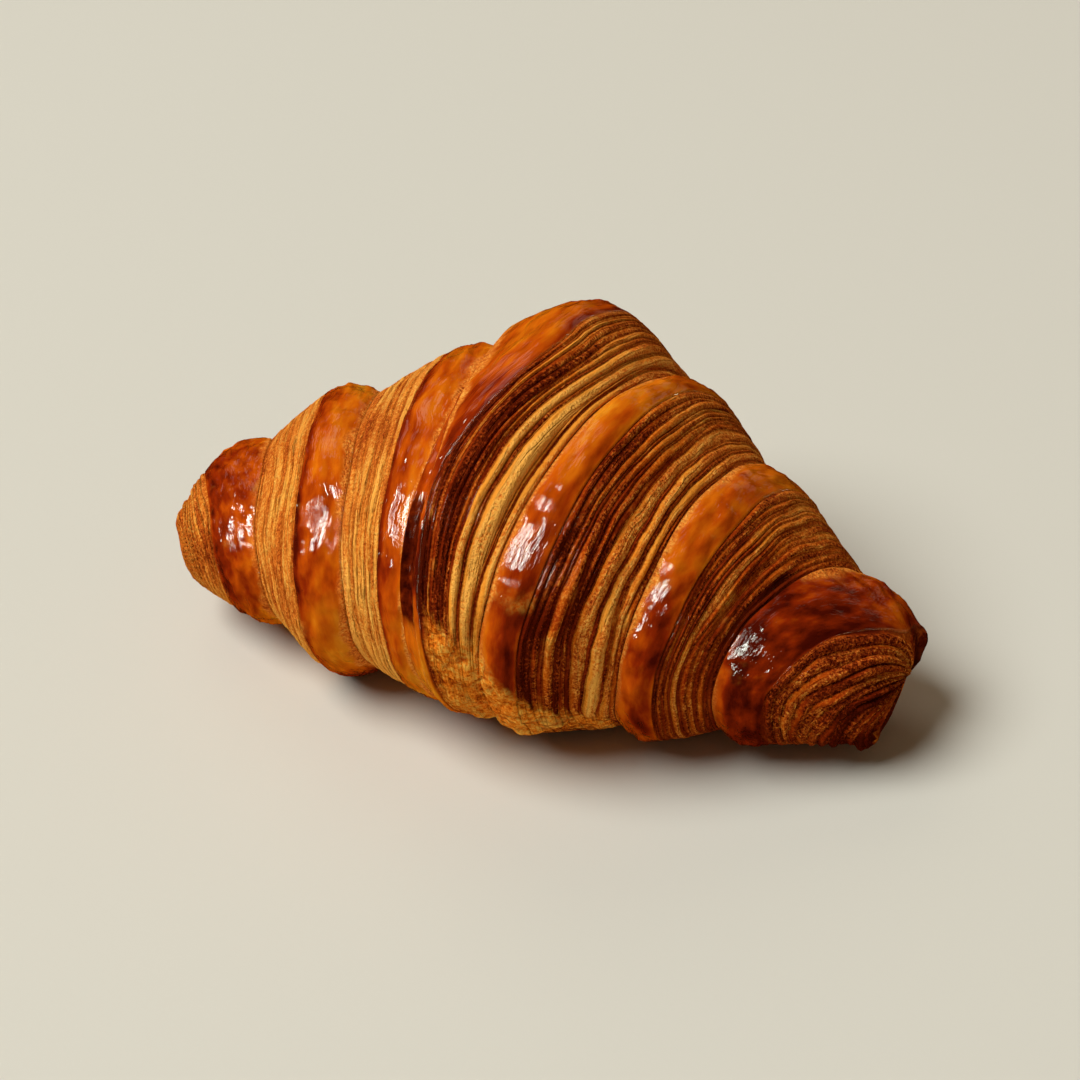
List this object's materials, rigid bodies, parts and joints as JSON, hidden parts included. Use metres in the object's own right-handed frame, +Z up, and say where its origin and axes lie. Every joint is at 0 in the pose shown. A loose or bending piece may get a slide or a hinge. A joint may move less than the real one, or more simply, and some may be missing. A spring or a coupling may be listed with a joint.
{
  "type": "butter croissant",
  "caption": "Straight plump butter croissant with stepped spiral wraps, ridged flaky layers between glazed bands and a tucked point in front.",
  "frame": {"origin": "middle of the flat base, under the middle of the overall length and width", "axes": "+X along the roll to the tip that is nearer in the picture, -Y to the front with the tucked point, +Z up"},
  "size_m": [0.1522, 0.0969, 0.0748],
  "materials": {
    "crust": "egg-glazed golden-brown crust, glossy on the bands and matte on the cut layers"
  },
  "bodies": {
    "root": {"croissant": "crust"}
  },
  "joints": []
}
